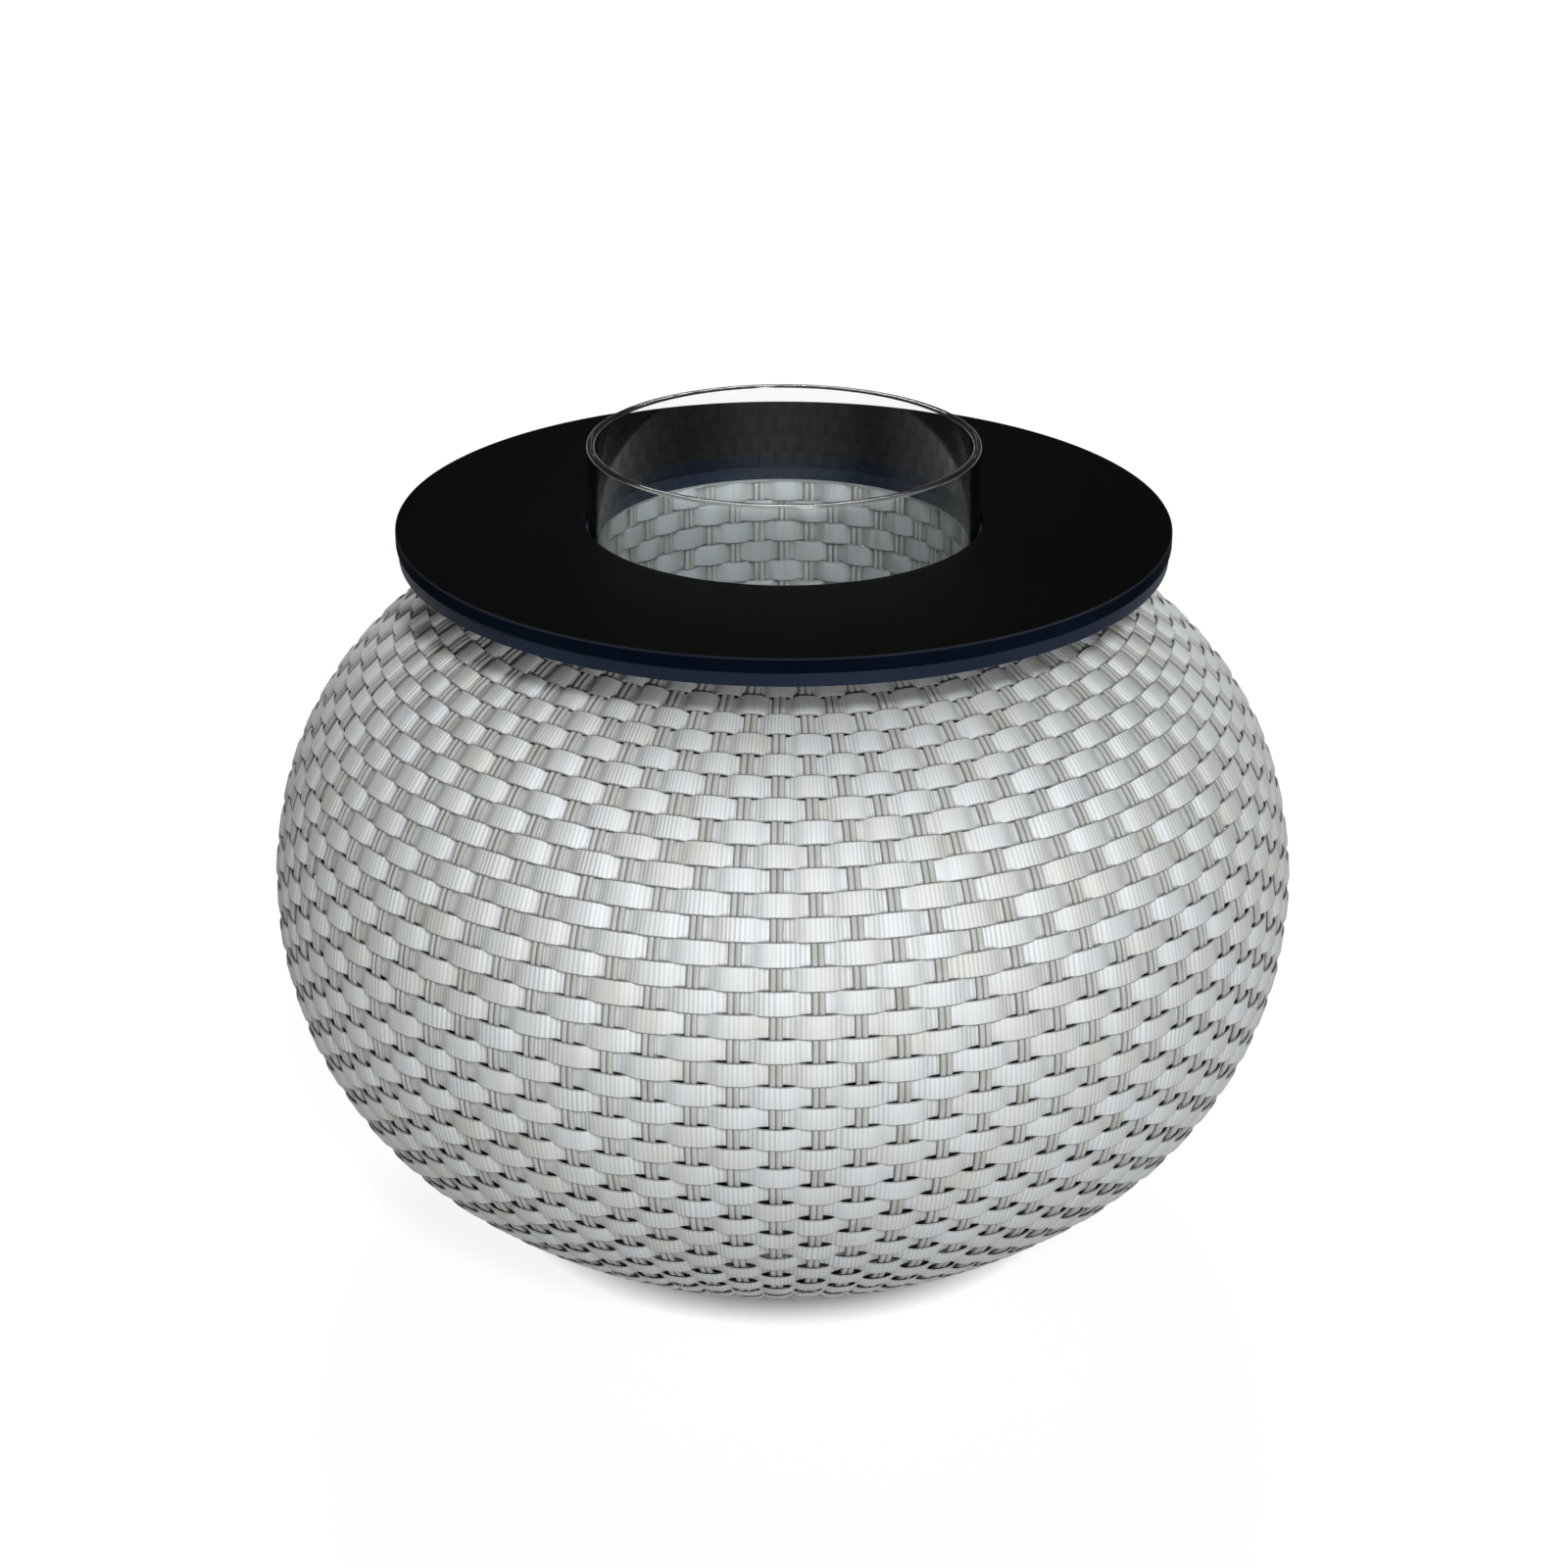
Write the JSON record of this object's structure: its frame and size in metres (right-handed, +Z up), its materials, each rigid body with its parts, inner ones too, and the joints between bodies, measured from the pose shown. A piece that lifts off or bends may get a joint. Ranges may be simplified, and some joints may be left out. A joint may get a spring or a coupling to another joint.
{
  "type": "ice bucket coffee table",
  "caption": "Round woven outdoor coffee table with a lift-off ring-shaped top and a clear glass ice bucket standing in a central well.",
  "frame": {"origin": "on the floor, under the centre of the table", "axes": "+Z up along the table's axis; -Y towards the viewer of the picture, +X to the viewer's right"},
  "size_m": [0.6518, 0.652, 0.518],
  "materials": {
    "navy_coat": "satin navy powder coat",
    "black_laminate": "matte black laminate",
    "woven_strip": "silvery white ribbed synthetic strip",
    "clear_glass": "clear polished glass",
    "aluminium": "bare welded aluminium",
    "black_rubber": "black rubber",
    "stainless": "stainless steel"
  },
  "bodies": {
    "base": {"woven_body": "woven_strip", "woven_well": "woven_strip", "pin_bush_1": "black_rubber", "pin_bush_2": "black_rubber", "pin_bush_3": "black_rubber", "top_pad_1": "black_rubber", "top_pad_2": "black_rubber", "top_pad_3": "black_rubber", "well_top_ring": "aluminium", "base_ring": "aluminium", "tray_ring": "aluminium", "inner_post_1": "aluminium", "inner_post_2": "aluminium", "inner_post_3": "aluminium", "inner_post_4": "aluminium", "inner_post_5": "aluminium", "inner_post_6": "aluminium", "rib_1": "aluminium", "rib_2": "aluminium", "rib_3": "aluminium", "rib_4": "aluminium", "rib_5": "aluminium", "rib_6": "aluminium", "shoulder_hoop": "aluminium", "equator_hoop": "aluminium", "haunch_hoop": "aluminium", "bucket_tray": "aluminium", "bucket_pad_1": "black_rubber", "bucket_pad_2": "black_rubber", "bucket_pad_3": "black_rubber", "bucket_pad_4": "black_rubber", "glide_1": "black_rubber", "glide_2": "black_rubber", "glide_3": "black_rubber", "glide_4": "black_rubber", "glide_5": "black_rubber", "glide_6": "black_rubber"},
    "top": {"tabletop": "black_laminate", "top_outer_ring": "navy_coat", "top_inner_ring": "navy_coat", "top_spoke_1": "navy_coat", "top_spoke_2": "navy_coat", "top_spoke_3": "navy_coat", "top_spoke_4": "navy_coat", "top_spoke_5": "navy_coat", "top_spoke_6": "navy_coat", "tabletop_screw_1": "stainless", "tabletop_screw_2": "stainless", "tabletop_screw_3": "stainless", "tabletop_screw_4": "stainless", "tabletop_screw_5": "stainless", "tabletop_screw_6": "stainless", "locating_pin_1": "stainless", "locating_pin_2": "stainless", "locating_pin_3": "stainless"},
    "bucket": {"glass_bucket": "clear_glass"}
  },
  "joints": [
    {"name": "top_lift", "type": "slide", "parent": "base", "child": "top", "axis": [0, 0, 1], "range_m": [0, 0.1]},
    {"name": "bucket_lift", "type": "slide", "parent": "base", "child": "bucket", "axis": [0, 0, 1], "range_m": [0, 0.2]}
  ]
}
